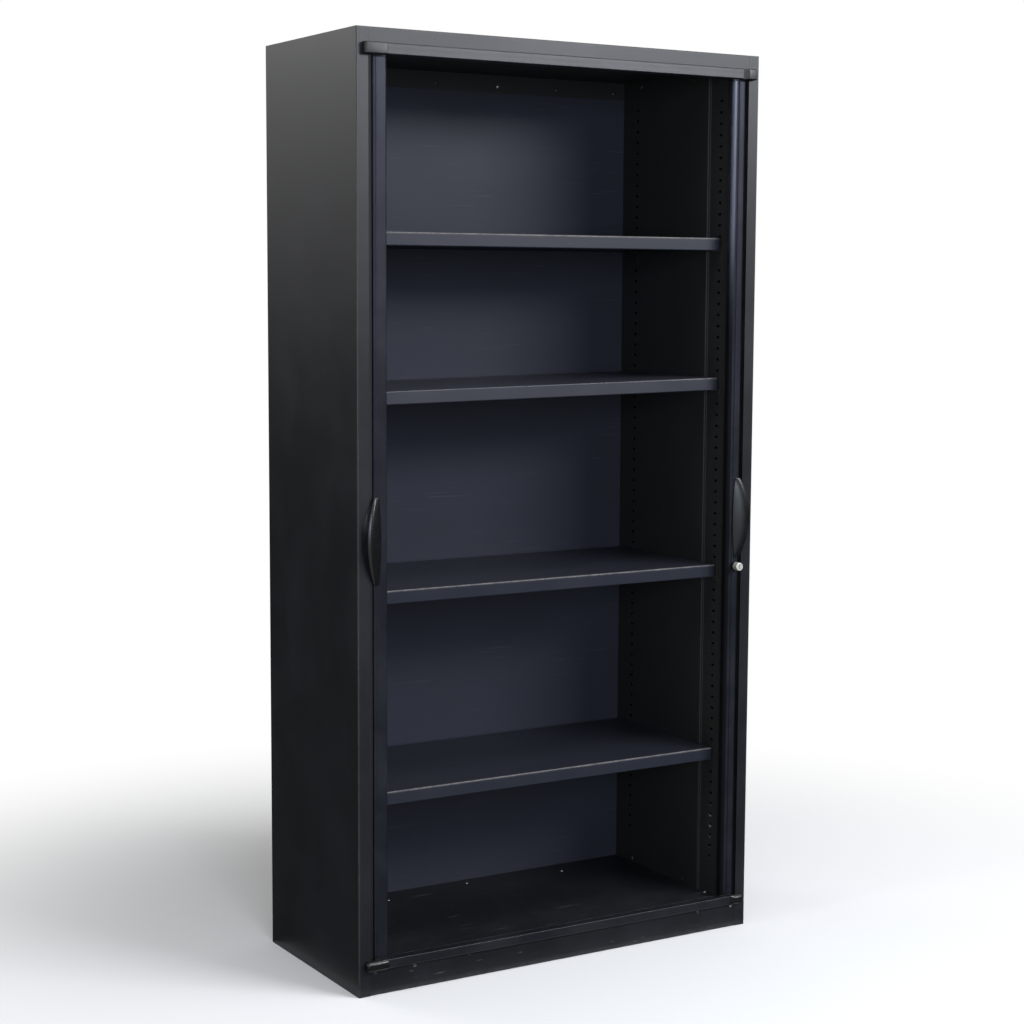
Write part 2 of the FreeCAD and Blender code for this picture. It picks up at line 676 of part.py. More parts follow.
def main():
    os.makedirs("parts", exist_ok=True)

    to_back, to_right, down = V(0, 1, 0), V(1, 0, 0), V(0, 0, -1)
    span = bay - back_rivet_edge
    step = 2 * span / (back_rivet_count - 1)
    back_spots = [V(k * step - span, back_face - sheet, ceiling - back_rivet_drop)
                  for k in range(back_rivet_count)]
    side = bay - floor_rivet_side
    corner = bay + recess - floor_rivet_edge
    floor_spots = [V(x, back_face - floor_rivet_rear, floor_top) for x in both(side)]
    floor_spots.append(V(-floor_rivet_off, back_face - floor_rivet_last, floor_top))
    floor_spots += [V(x, floor_rivet_front, floor_top) for x in both(corner)]
    outer = opening_edge - screw_edge
    plinth_spots = [V(x, 0, plinth_height - screw_drop) for x in both(outer) + both(outer - screw_step)]
    wall_spots = [V(bay, y, z) for y in (angle_from + wall_rivet_front, angle_to - wall_rivet_rear)
                  for z in (base_top + wall_rivet_low, ceiling - wall_rivet_high)]
    edge_spots = [V(bay + recess + edge_rivet_in, panel_front, z)
                  for z in (base_top + edge_rivet_end, ceiling - edge_rivet_end)]
    back_drills = [drill(s, to_back) for s in back_spots]
    plinth_drills = [drill(s, to_back) for s in plinth_spots]
    floor_drills = [flush_rivet(s, down, drill_play) for s in floor_spots]
    wall_drills = [drill(s, to_right) for s in wall_spots]
    edge_drills = [drill(s, to_back) for s in edge_spots]

    pair("side_panel", side_panel())
    put("top_panel", top_panel())
    put("ceiling_panel", ceiling_panel(back_drills))
    put("base_panel", base_panel(plinth_drills))
    put("floor_panel", floor_panel(floor_drills))
    put("plinth", plinth(plinth_drills))
    put("back_panel", back_panel(back_drills))
    pair("inner_panel", inner_panel(wall_drills + edge_drills))
    pair("angle_bottom", angle(base_top, 1, wall_drills))
    pair("angle_top", angle(ceiling, -1, wall_drills))

    put("top_rail", rail(ceiling, top_slot_mouth))
    put("bottom_rail", rail(plinth_height, bottom_slot_mouth))
    pair("track_top", side_track(ceiling - track_web, ceiling, top_slot_mouth, ceiling))
    pair("track_bottom", side_track(base_top, base_top + track_web, base_top, bottom_slot_mouth))
    top_cap = (top_slot_mouth - cap_extra, ceiling)
    bottom_cap = (plinth_height - cap_extra, bottom_slot_mouth + cap_extra)
    put("cap_top_right", corner_cap(*top_cap, cap_in))
    put("cap_top_left", lapped_cap(*top_cap, top_slot_mouth, ceiling))
    put("cap_bottom_right", corner_cap(*bottom_cap, cap_in))
    put("cap_bottom_left", lapped_cap(*bottom_cap, plinth_height, bottom_slot_mouth))

    pair("curtain", *curtain())
    lock_hole = rod(lock_x, lock_z, -1, post_front_wall + 1, spindle + 2 * plug_play)
    put("post_right", post(True, [lock_hole]))
    put("post_left", mirrored(post(False, [])))
    pair("shoe_top", shoe(post_high, 1))
    pair("shoe_bottom", shoe(post_low, -1))
    pair("handle", handle())
    for name, shape in zip(("lock_collar", "lock_barrel", "lock_plug", "lock_hook"), lock_parts()):
        put(name, shape)
    put("keeper", mirrored(keeper()))

    for number, (step, slant) in enumerate(zip(shelf_steps, shelf_slants), 1):
        ledge_top = hole_first + hole_pitch / 4 + step * hole_pitch / 2
        put("shelf_%d" % number, shelf(ledge_top + shelf_lip, slant * hole_pitch / 2))
        walls = list(zip((bay + recess, bay), hole_rows))
        right = [clip(x, row, step + slant) for x, row in walls]
        left = [mirrored(clip(x, row, step)) for x, row in walls]
        put("clips_%d" % number, *right, *left)

    put("back_rivets", *[rivet(s, to_back) for s in back_spots])
    put("floor_rivets", *[flush_rivet(s, down) for s in floor_spots])
    put("plinth_screws", *[rivet(s, to_back) for s in plinth_spots])
    pair("wall_rivets", *[rivet(s, to_right) for s in wall_spots], *[rivet(s, to_back) for s in edge_spots])


main()
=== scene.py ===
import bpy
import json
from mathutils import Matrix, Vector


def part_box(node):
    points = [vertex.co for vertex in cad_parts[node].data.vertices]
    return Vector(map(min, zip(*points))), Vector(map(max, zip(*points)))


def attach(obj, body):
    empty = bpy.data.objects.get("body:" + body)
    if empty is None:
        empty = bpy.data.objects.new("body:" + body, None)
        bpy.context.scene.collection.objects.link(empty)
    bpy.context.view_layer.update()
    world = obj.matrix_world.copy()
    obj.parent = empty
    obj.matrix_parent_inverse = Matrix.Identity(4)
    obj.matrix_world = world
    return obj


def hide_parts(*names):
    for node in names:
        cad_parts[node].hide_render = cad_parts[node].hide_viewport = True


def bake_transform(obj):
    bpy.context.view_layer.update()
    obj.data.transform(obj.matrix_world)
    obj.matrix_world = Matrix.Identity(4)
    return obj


bl_info = {
    "name": "Tambour cupboard looks",
    "version": (1, 0, 0),
    "blender": (4, 5, 0),
    "location": "View3D > Sidebar > Cupboard",
    "description": "Finishes, handles, corner caps, curtains and stage for the steel tambour cupboard",
    "category": "Object",
}

import json
import math

import bpy
import numpy as np
from bpy.props import FloatProperty, FloatVectorProperty, PointerProperty

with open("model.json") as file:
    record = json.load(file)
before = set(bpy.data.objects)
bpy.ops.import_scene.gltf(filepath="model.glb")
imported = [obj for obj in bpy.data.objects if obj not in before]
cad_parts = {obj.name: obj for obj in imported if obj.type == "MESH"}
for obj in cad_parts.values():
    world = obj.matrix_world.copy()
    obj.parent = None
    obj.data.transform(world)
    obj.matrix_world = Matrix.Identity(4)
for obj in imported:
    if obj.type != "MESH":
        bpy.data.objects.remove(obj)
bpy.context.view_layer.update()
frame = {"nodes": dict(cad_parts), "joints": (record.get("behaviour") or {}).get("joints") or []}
NODES = frame["nodes"]
SIDES = (("left", -1.0), ("right", 1.0))
SHELVES = range(1, 5)
# edges that turn by more than this are rounded
SHARP_TURN = math.radians(35)
# metres from a marked place to where its mark ends, and to where it is full: pale folds, partly wear and
# partly a painted highlight, painted glints at hole edges, and rubbed heads
FOLD_WEAR_AND_HIGHLIGHT = (0.0045, 0.0008)
HOLE_GLINT = (0.006, 0.0035)
HEAD_WEAR = (0.012, 0.006)
# options that like properties share
COLOUR = {"subtype": "COLOR", "size": 3, "min": 0, "max": 1}
SHARE = {"subtype": "FACTOR", "min": 0, "max": 1}


def linear(code):
    """Turn an sRGB hex colour into linear red, green and blue."""
    srgb = np.array([int(code[i:i + 2], 16) for i in (1, 3, 5)]) / 255
    return tuple(np.where(srgb <= 0.04045, srgb / 12.92, ((srgb + 0.055) / 1.055) ** 2.4))


def per_metre(millimetres):
    """Texture scale whose pattern repeats about every so many millimetres."""
    return 1000.0 / millimetres


# Sizes and colours that a user would change

class CupboardFinishes(bpy.types.PropertyGroup):
    """Colours and gloss of the coats, plastics and metals"""
    coat: FloatVectorProperty(name="Coat", description="Powder coat on the sheets",
                              default=linear("#16171a"), **COLOUR)
    # painted light: the back, walls and shelves get paler copies of the black coat, the back's and shelves'
    # bluer
    back_coat_painted_lighter: FloatVectorProperty(name="Coat on the back", description="Powder coat on the back panel",
                                     default=linear("#2e3038"), **COLOUR)
    wall_coat_painted_lighter: FloatVectorProperty(name="Coat on the walls", description="Powder coat on the inner panels",
                                   default=linear("#262625"), **COLOUR)
    shelf_coat_painted_lighter: FloatVectorProperty(name="Coat on the shelves", description="Powder coat on the shelves",
                                    default=linear("#1f222a"), **COLOUR)
    coat_pale: FloatVectorProperty(name="Rubbed coat", description="Coat where it is rubbed or thin",
                                   default=linear("#2a2b2f"), **COLOUR)
    # pale colour of the folds, partly wear and partly a painted highlight, and of the scratches
    worn: FloatVectorProperty(name="Worn edge", description="Coat worn pale along the folds",
                              default=linear("#8f8a86"), **COLOUR)
    dust: FloatVectorProperty(name="Dust", description="Dust on faces that look up",
                              default=linear("#5a5853"), **COLOUR)
    profile: FloatVectorProperty(name="Profile coat", description="Coat on the posts and rails",
                                 default=linear("#15161b"), **COLOUR)
    plastic: FloatVectorProperty(name="Moulded plastic", description="Handles, corner caps and guides",
                                 default=linear("#0d0d0e"), **COLOUR)
    slat: FloatVectorProperty(name="Slat", description="Extruded plastic of the curtains",
                              default=linear("#111112"), **COLOUR)
    nickel: FloatVectorProperty(name="Nickel", description="Plated lock barrel and plug",
                                default=linear("#d8d5ce"), **COLOUR)
    zinc: FloatVectorProperty(name="Zinc", description="Plated rivets, screws, hook and keeper",
                              default=linear("#b4b4b0"), **COLOUR)
    coat_roughness: FloatProperty(name="Coat roughness", description="Roughness of the satin coat",
                                  default=0.37, **SHARE)
    coat_ior: FloatProperty(name="Coat IOR", description="Refractive index of the satin coat",
                            min=1, max=2, default=1.33)


class CupboardCurtains(bpy.types.PropertyGroup):
    """The part of each curtain that follows its post across the opening"""
    pitch: FloatProperty(name="Pitch", description="Width of one slat", unit="LENGTH", default=0.0216)
    thickness: FloatProperty(name="Thickness", description="Thickness of a slat", unit="LENGTH",
                             default=0.004)
    groove: FloatProperty(name="Groove", description="Depth of the joint between two slats",
                          unit="LENGTH", default=0.0012)
    groove_width: FloatProperty(name="Groove width", description="Width of that joint", unit="LENGTH",
                                default=0.0034)
    crown: FloatProperty(name="Crown", description="Height of the slat's curved face", unit="LENGTH",
                         default=0.0006)
    back: FloatProperty(name="Back", description="Depth of the slat's back as a share of its front's",
                        default=0.8, **SHARE)
    room: FloatProperty(name="Room in the post", description="Width of the folded-up curtain at rest",
                        unit="LENGTH", default=0.024)
    wall: FloatProperty(name="Post wall", description="Post's outer edge to the folded-up curtain",
                        unit="LENGTH", default=0.003)
    set_back: FloatProperty(name="Set back", description="Post's front face to the middle of the slats",
                            unit="LENGTH", default=0.008)


class CupboardMouldings(bpy.types.PropertyGroup):
    """Handles and corner caps"""
    taper: FloatProperty(name="Handle taper", description="How far the inner edge draws back at the tips",
                         unit="LENGTH", default=0.005)
    tip_width: FloatProperty(name="Handle tip", description="Width of the handle at its tips",
                             unit="LENGTH", default=0.0126)
    edge: FloatProperty(name="Handle edge", description="Height of the handle's inner edge",
                        unit="LENGTH", default=0.0025)
    tip_height: FloatProperty(name="Tip height", description="Height of the crown at its rounded ends",
                              unit="LENGTH", default=0.004)
    near_height: FloatProperty(name="Height near the ends", description="Height of the crown beside its ends",
                               unit="LENGTH", default=0.006)
    shoulder: FloatProperty(name="Shoulder", description="Height of the slope's upper end, as a share",
                            default=0.93, **SHARE)
    belly: FloatProperty(name="Slope rounding", description="How much the slope rounds out",
                         default=0.35, **SHARE)
    lean: FloatProperty(name="Lean", description="How far the rim stands back from the foot of the bow",
                        unit="LENGTH", default=0.006)
    crown: FloatProperty(name="Crown", description="Width of the rounded crown at the tips", unit="LENGTH",
                         default=0.005)
    spread: FloatProperty(name="Crown spread", description="What the middle adds to the crown's width",
                          unit="LENGTH", default=0.008)
    fall: FloatProperty(name="Crown fall", description="Share of its height that the crown falls to the rim",
                        default=0.1, **SHARE)
    scoop: FloatProperty(name="Finger hollow", description="What the middle adds to the hollow's depth",
                         unit="LENGTH", default=0.0006)
    tip_scoop: FloatProperty(name="Hollow at the tips", description="Depth of the hollow at the tips",
                             unit="LENGTH", default=0.0002)
    clear: FloatProperty(name="Clearance", description="Gap between the bow and the flange behind it",
                         unit="LENGTH", default=0.001)
    foot: FloatProperty(name="Foot", description="How far the handle's foot stands in from its tips",
                        unit="LENGTH", default=0.0031)
    handle_bevel: FloatProperty(name="Handle bevel", description="Rounding of the handle's sharp edges",
                                unit="LENGTH", default=0.0006)
    cap_round: FloatProperty(name="Cap end", description="Radius of a lower cap's outer end", unit="LENGTH",
                             default=0.006)
    cap_corner: FloatProperty(name="Upper cap end", description="Radius of an upper cap's outer end",
                              unit="LENGTH", default=0.0045)
    cap_inner: FloatProperty(name="Cap inner end", description="Radius of a cap's end at the rail",
                             unit="LENGTH", default=0.002)
    cap_edge: FloatProperty(name="Lower cap edge", description="Radius of a lower cap's edges",
                            unit="LENGTH", default=0.0078)
    cap_crisp: FloatProperty(name="Upper cap edge", description="Radius of an upper cap's edges",
                             unit="LENGTH", default=0.0028)
    cap_bulge: FloatProperty(name="Lower cap bulge", description="How far a lower cap's face swells",
                             unit="LENGTH", default=0.001)
    cap_swell: FloatProperty(name="Upper cap bulge", description="How far an upper cap's face swells",
                             unit="LENGTH", default=0.0012)
    cap_slope: FloatProperty(name="Cap slope", description="Share of a cap's width that rises from the rail",
                             default=0.4, **SHARE)
    cap_gap: FloatProperty(name="Cap gap", description="Gap between the rail and a cap that laps over it",
                           unit="LENGTH", default=0.0002)
    cap_bevel: FloatProperty(name="Cap bevel", description="Rounding of a cap's sharp edges",
                             unit="LENGTH", default=0.0004)


class CupboardFittings(bpy.types.PropertyGroup):
    """Domed rivet heads on the floor"""
    head_radius: FloatProperty(name="Head radius", description="Radius of a rivet head", unit="LENGTH",
                               default=0.0042)
    head_height: FloatProperty(name="Head height", description="Height of a rivet head", unit="LENGTH",
                               default=0.0024)


class CupboardStage(bpy.types.PropertyGroup):
    """Floor, light and camera"""
    floor: FloatVectorProperty(name="Floor", description="Pale studio floor", default=linear("#e8e8e8"),
                               **COLOUR)
    key: FloatProperty(name="Key light", description="Soft light at the front, high on the right",
                       unit="POWER", default=245.0)
    fill: FloatProperty(name="Fill light", description="Soft light beside the camera", unit="POWER",
                        default=120.0)
    rear: FloatProperty(name="Rear light", description="Soft light at the back, high on the left",
                        unit="POWER", default=37.0)
    side: FloatProperty(name="Side light", description="Small light at the left, for the mouldings' ends",
                        unit="POWER", default=14.0)
    top: FloatProperty(name="Top light", description="Soft light overhead", unit="POWER", default=60.0)
    screen: FloatProperty(name="Dark screen", description="Height of the screen that reflections see",
                          unit="LENGTH", default=2.7)
    ambient: FloatProperty(name="Ambient", description="Strength of the surrounding light", default=0.35)
    lens: FloatProperty(name="Lens", description="Focal length of the camera in millimetres", default=72.27)
    eye: FloatVectorProperty(name="Camera place", description="Where the camera stands",
                             subtype="TRANSLATION", unit="LENGTH", size=3,
                             default=(-2.36854, -3.89833, 1.47393))
    aim: FloatVectorProperty(name="Camera turn", description="Rotation of the camera", subtype="EULER",
                             unit="ROTATION", size=3,
                             default=tuple(np.radians((83.6858, -0.2934, -31.1225))))


# Shader helpers

def feed(tree, node, inputs):
    """Set sockets of a node; inputs maps each to a value or to the socket that it is linked from."""
    for key, value in inputs.items():
        if isinstance(value, bpy.types.NodeSocket):
            tree.links.new(value, node.inputs[key])
        else:
            node.inputs[key].default_value = value


def add(tree, kind, inputs=None, **settings):
    """Add one shader node with its settings and its inputs.

    A Mix node of colours has its factor at input 0, its colours at 6 and 7, and its result at output 2.
    """
    made = tree.nodes.new(kind)
    for key, value in settings.items():
        setattr(made, key, value)
    feed(tree, made, inputs or {})
    return made


def begin(name):
    """Start a material; returns it with its node tree, its shader and the place on the piece."""
    material = bpy.data.materials.new(name)
    material.use_nodes = True
    tree = material.node_tree
    place = add(tree, "ShaderNodeTexCoord").outputs["Object"]
    return material, tree, tree.nodes["Principled BSDF"], place


def strongest(tree, masks):
    """The largest of several masks at each point."""
    most, *others = masks
    for mask in others:
        most = add(tree, "ShaderNodeMath", {0: most, 1: mask}, operation="MAXIMUM").outputs[0]
    return most


def rubbed_and_glint_spots(tree, place, spots, wear):
    """Mask of spots, each by its middle and strength: rubbed heads, and painted glints at hole edges."""
    masks = []
    for middle, strength in spots:
        away = add(tree, "ShaderNodeVectorMath", {0: place, 1: middle}, operation="DISTANCE").outputs["Value"]
        masks.append(add(tree, "ShaderNodeMapRange", {"Value": away, "From Min": wear[0], "From Max": wear[1],
                                                      "To Max": strength}).outputs["Result"])
    return strongest(tree, masks)


def folds_worn_and_painted_highlight(tree, place, edges, scuffs, worn):
    """Mask of pale folds, partly wear and partly a painted highlight, and a kicked foot, broken up by chips.
    """
    axes = add(tree, "ShaderNodeSeparateXYZ", {"Vector": place}).outputs
    masks = []
    for first, a, second, b in edges:
        across = add(tree, "ShaderNodeMath", {0: axes[first], 1: a}, operation="SUBTRACT").outputs[0]
        up = add(tree, "ShaderNodeMath", {0: axes[second], 1: b}, operation="SUBTRACT").outputs[0]
        both = add(tree, "ShaderNodeCombineXYZ", {0: across, 1: up}).outputs[0]
        away = add(tree, "ShaderNodeVectorMath", {0: both}, operation="LENGTH").outputs["Value"]
        # a pale fold, wear with a painted highlight, is 2 to 4 mm wide, and the chips break its outline
        masks.append(add(tree, "ShaderNodeMapRange", {"Value": away, "From Min": FOLD_WEAR_AND_HIGHLIGHT[0],
                                                      "From Max": FOLD_WEAR_AND_HIGHLIGHT[1]}).outputs["Result"])
    if scuffs:
        masks.append(add(tree, "ShaderNodeMapRange", {"Value": axes[2], "From Min": scuffs, "From Max": 0.0,
                                                      "To Max": 0.12}).outputs["Result"])
    chips = add(tree, "ShaderNodeTexNoise", {"Vector": place, "Scale": per_metre(14), "Detail": 6.0,
                                             "Roughness": 0.7}).outputs["Fac"]
    broken = add(tree, "ShaderNodeMapRange", {"Value": chips, "From Min": 0.2, "From Max": 0.7,
                                              "To Max": worn}).outputs["Result"]
    return add(tree, "ShaderNodeMath", {0: strongest(tree, masks), 1: broken},
               operation="MULTIPLY").outputs[0]


def dust_film(tree, place, dust):
    """Mask of dust that lies in drifts on faces that look up."""
    facing = add(tree, "ShaderNodeNewGeometry").outputs["Normal"]
    level = add(tree, "ShaderNodeSeparateXYZ", {"Vector": facing}).outputs[2]
    lying = add(tree, "ShaderNodeMapRange", {"Value": level, "From Min": 0.6, "From Max": 0.95,
                                             "To Max": dust}).outputs["Result"]
    specks = add(tree, "ShaderNodeTexNoise", {"Vector": place, "Scale": per_metre(24), "Detail": 8.0,
                                              "Roughness": 0.75}).outputs["Fac"]
    drift = add(tree, "ShaderNodeMapRange", {"Value": specks, "From Min": 0.4,
                                             "From Max": 0.8}).outputs["Result"]
    return add(tree, "ShaderNodeMath", {0: lying, 1: drift}, operation="MULTIPLY").outputs[0]


def painted_nose_shade_and_sheen(tree, place, leading):
    """Masks of a strip behind the leading edge: painted shade low down, and a painted sheen near the top."""
    axes = add(tree, "ShaderNodeSeparateXYZ", {"Vector": place}).outputs
    masks = []
    # for each: width where the strip ends and where it is full, strength, heights of no and full strength
    for (end, full), strength, (none, whole) in (((0.009, 0.008), 0.85, (1.6, 1.3)),
                                                 ((0.011, 0.009), 1.0, (1.42, 1.62))):
        strip = add(tree, "ShaderNodeMapRange", {"Value": axes[0], "From Min": leading + end,
                                                 "From Max": leading + full,
                                                 "To Max": strength}).outputs["Result"]
        reach = add(tree, "ShaderNodeMapRange", {"Value": axes[2], "From Min": none, "From Max": whole},
                    interpolation_type="SMOOTHSTEP").outputs["Result"]
        masks.append(add(tree, "ShaderNodeMath", {0: strip, 1: reach}, operation="MULTIPLY").outputs[0])
    return masks


# Finishes

def powder_coat(name, base="coat", edges=(), worn=1.0, dust=0.0, scratches=None, scuffs=None, bare_and_glint_spots=(),
                ior=None):
    """Black satin powder coat, sprayed on folded sheet steel and baked.

    The eye sees a soft broad sheen, a fine orange peel, rubbed patches, and pale folds, partly wear
    and partly a painted highlight. edges lists those folds as (axis, place, axis, place); scuffs is the
    height of a kicked foot; scratches gives the reach of a scratch along x, y and z in millimetres, and
    its strength; the argument after scuffs lists the middles of punched hole edges given pale rings, painted
    glints.
    """
    look = bpy.context.scene.cupboard_finishes
    material, tree, shader, place = begin(name)
    # rubbed patches about two hands wide
    patches = add(tree, "ShaderNodeTexNoise", {"Vector": place, "Scale": per_metre(170), "Detail": 4.0,
                                               "Roughness": 0.6}).outputs["Fac"]
    rubbed = add(tree, "ShaderNodeMapRange", {"Value": patches, "From Min": 0.42, "From Max": 0.75,
                                              "To Max": 0.35}).outputs["Result"]
    colour = add(tree, "ShaderNodeMix", {0: rubbed, 6: (*getattr(look, base), 1), 7: (*look.coat_pale, 1)},
                 data_type="RGBA").outputs[2]
    rough = add(tree, "ShaderNodeMapRange", {"Value": patches, "From Min": 0.3, "From Max": 0.7,
                                             "To Min": look.coat_roughness - 0.01,
                                             "To Max": look.coat_roughness + 0.03}).outputs["Result"]
    # orange peel is about 0.8 mm on the real coat; drawn 3 mm wide so that it shows
    peel = add(tree, "ShaderNodeTexNoise", {"Vector": place, "Scale": per_metre(3.0),
                                            "Detail": 2.0}).outputs["Fac"]
    bump = add(tree, "ShaderNodeBump", {"Height": peel, "Strength": 0.18,
                                        "Distance": 0.0003}).outputs["Normal"]
    if edges or scuffs:
        wear = folds_worn_and_painted_highlight(tree, place, edges, scuffs, worn)
        colour = add(tree, "ShaderNodeMix", {0: wear, 6: colour, 7: (*look.worn, 1)},
                     data_type="RGBA").outputs[2]
    if bare_and_glint_spots:
        # pale rings in the zinc colour at hole edges are painted glints
        painted_glint = rubbed_and_glint_spots(tree, place, bare_and_glint_spots, HOLE_GLINT)
        colour = add(tree, "ShaderNodeMix", {0: painted_glint, 6: colour, 7: (*look.zinc, 1)},
                     data_type="RGBA").outputs[2]
    if scratches:
        *reach, strength = scratches
        run = add(tree, "ShaderNodeMapping", {"Vector": place,
                                              "Scale": tuple(map(per_metre, reach))}).outputs["Vector"]
        lines = add(tree, "ShaderNodeTexNoise", {"Vector": run, "Scale": 1.0, "Detail": 1.0}).outputs["Fac"]
        cut = add(tree, "ShaderNodeMapRange", {"Value": lines, "From Min": 0.72, "From Max": 0.8,
                                               "To Max": strength}).outputs["Result"]
        colour = add(tree, "ShaderNodeMix", {0: cut, 6: colour, 7: (*look.worn, 1)},
                     data_type="RGBA").outputs[2]
    if dust:
        film = dust_film(tree, place, dust)
        colour = add(tree, "ShaderNodeMix", {0: film, 6: colour, 7: (*look.dust, 1)},
                     data_type="RGBA").outputs[2]
        rough = add(tree, "ShaderNodeMath", {0: rough, 1: film}, operation="ADD", use_clamp=True).outputs[0]
    feed(tree, shader, {"Base Color": colour, "Roughness": rough, "Normal": bump,
                        "IOR": ior or look.coat_ior})
    return material


def drawn_profile(name, along, ior, nose, sheen, handled=None):
    """Black coated aluminium profile: die lines run its whole length, under a satin coat.

    The eye sees a sheen drawn out into faint lines along the piece, tinted by sheen, a painted reflection
    colour that is bluish on the posts, and a light line where the extruded corners are rounded to the radius
    nose. handled gives the x of the leading edge, behind which a strip gets painted shade low down and a
    painted sheen near the top.
    """
    look = bpy.context.scene.cupboard_finishes
    material, tree, shader, place = begin(name)
    # die lines are about 0.5 mm apart; drawn 1.5 mm apart so that they show
    scale = np.full(3, per_metre(1.5))
    scale[along] = per_metre(900)
    run = add(tree, "ShaderNodeMapping", {"Vector": place, "Scale": tuple(scale)}).outputs["Vector"]
    lines = add(tree, "ShaderNodeTexNoise", {"Vector": run, "Scale": 1.0, "Detail": 2.0}).outputs["Fac"]
    patches = add(tree, "ShaderNodeTexNoise", {"Vector": place, "Scale": per_metre(120), "Detail": 5.0,
                                               "Roughness": 0.65}).outputs["Fac"]
    rubbed = add(tree, "ShaderNodeMapRange", {"Value": patches, "From Min": 0.4, "From Max": 0.75,
                                              "To Max": 0.6}).outputs["Result"]
    colour = add(tree, "ShaderNodeMix", {0: rubbed, 6: (*look.profile, 1), 7: (*look.coat_pale, 1)},
                 data_type="RGBA").outputs[2]
    rough = add(tree, "ShaderNodeMapRange", {"Value": lines, "To Min": 0.3, "To Max": 0.42}).outputs["Result"]
    corner = add(tree, "ShaderNodeBevel", {"Radius": nose}, samples=6).outputs["Normal"]
    bump = add(tree, "ShaderNodeBump", {"Height": lines, "Strength": 0.12, "Distance": 0.0002,
                                        "Normal": corner}).outputs["Normal"]
    feed(tree, shader, {"Base Color": colour, "Roughness": rough, "Normal": bump, "IOR": ior,
                        "Specular Tint": (*linear(sheen), 1)})
    if handled:
        # painted shade low on the strip, black and less reflective; painted sheen at the top, a higher IOR
        dull, painted_sheen = painted_nose_shade_and_sheen(tree, place, handled)
        black = add(tree, "ShaderNodeMix", {0: dull, 6: colour, 7: (*look.plastic, 1)},
                    data_type="RGBA").outputs[2]
        gloss = add(tree, "ShaderNodeMapRange", {"Value": painted_sheen, "To Min": ior,
                                                 "To Max": 1.56}).outputs["Result"]
        level = add(tree, "ShaderNodeMapRange", {"Value": dull, "To Min": 0.5,
                                                 "To Max": 0.0}).outputs["Result"]
        feed(tree, shader, {"Base Color": black, "IOR": gloss, "Specular IOR Level": level})
    return material


def moulded_plastic(name, colour_of, roughness, grain, ior=1.45):
    """Black ABS or acetal, injection moulded in an etched tool.

    The eye sees a fine leathery grain that breaks up a tighter highlight than the coat's.
    """
    look = bpy.context.scene.cupboard_finishes
    material, tree, shader, place = begin(name)
    # etched grain is about 0.6 mm; drawn coarser so that it shows
    cells = add(tree, "ShaderNodeTexVoronoi", {"Vector": place,
                                               "Scale": per_metre(grain)}).outputs["Distance"]
    hands = add(tree, "ShaderNodeTexNoise", {"Vector": place, "Scale": per_metre(40),
                                             "Detail": 5.0}).outputs["Fac"]
    rubbed = add(tree, "ShaderNodeMapRange", {"Value": hands, "From Min": 0.45, "From Max": 0.75,
                                              "To Max": 0.25}).outputs["Result"]
    colour = add(tree, "ShaderNodeMix", {0: rubbed, 6: (*getattr(look, colour_of), 1),
                                         7: (*look.coat_pale, 1)}, data_type="RGBA").outputs[2]
    rough = add(tree, "ShaderNodeMapRange", {"Value": hands, "From Min": 0.3, "From Max": 0.7,
                                             "To Min": roughness + 0.06,
                                             "To Max": roughness - 0.04}).outputs["Result"]
    bump = add(tree, "ShaderNodeBump", {"Height": cells, "Strength": 0.1,
                                        "Distance": 0.0002}).outputs["Normal"]
    feed(tree, shader, {"Base Color": colour, "Roughness": rough, "Normal": bump, "IOR": ior})
    return material


def extruded_slat(name):
    """Black PVC slat, extruded.

    The eye sees a matt face with faint lines along its length and paler patches where it is rubbed.
    """
    look = bpy.context.scene.cupboard_finishes
    material, tree, shader, place = begin(name)
    # extrusion lines are about 0.4 mm apart; drawn 1.2 mm apart so that they show
    scale = (per_metre(1.2), per_metre(1.2), per_metre(700))
    run = add(tree, "ShaderNodeMapping", {"Vector": place, "Scale": scale}).outputs["Vector"]
    lines = add(tree, "ShaderNodeTexNoise", {"Vector": run, "Scale": 1.0, "Detail": 2.0}).outputs["Fac"]
    patches = add(tree, "ShaderNodeTexNoise", {"Vector": place, "Scale": per_metre(200),
                                               "Detail": 4.0}).outputs["Fac"]
    shade = add(tree, "ShaderNodeMapRange", {"Value": patches, "From Min": 0.35, "From Max": 0.75,
                                             "To Max": 0.35}).outputs["Result"]
    colour = add(tree, "ShaderNodeMix", {0: shade, 6: (*look.slat, 1), 7: (*look.coat_pale, 1)},
                 data_type="RGBA").outputs[2]
    rough = add(tree, "ShaderNodeMapRange", {"Value": lines, "To Min": 0.42,
                                             "To Max": 0.56}).outputs["Result"]
    bump = add(tree, "ShaderNodeBump", {"Height": lines, "Strength": 0.15,
                                        "Distance": 0.0002}).outputs["Normal"]
    feed(tree, shader, {"Base Color": colour, "Roughness": rough, "Normal": bump, "IOR": 1.3})
    return material


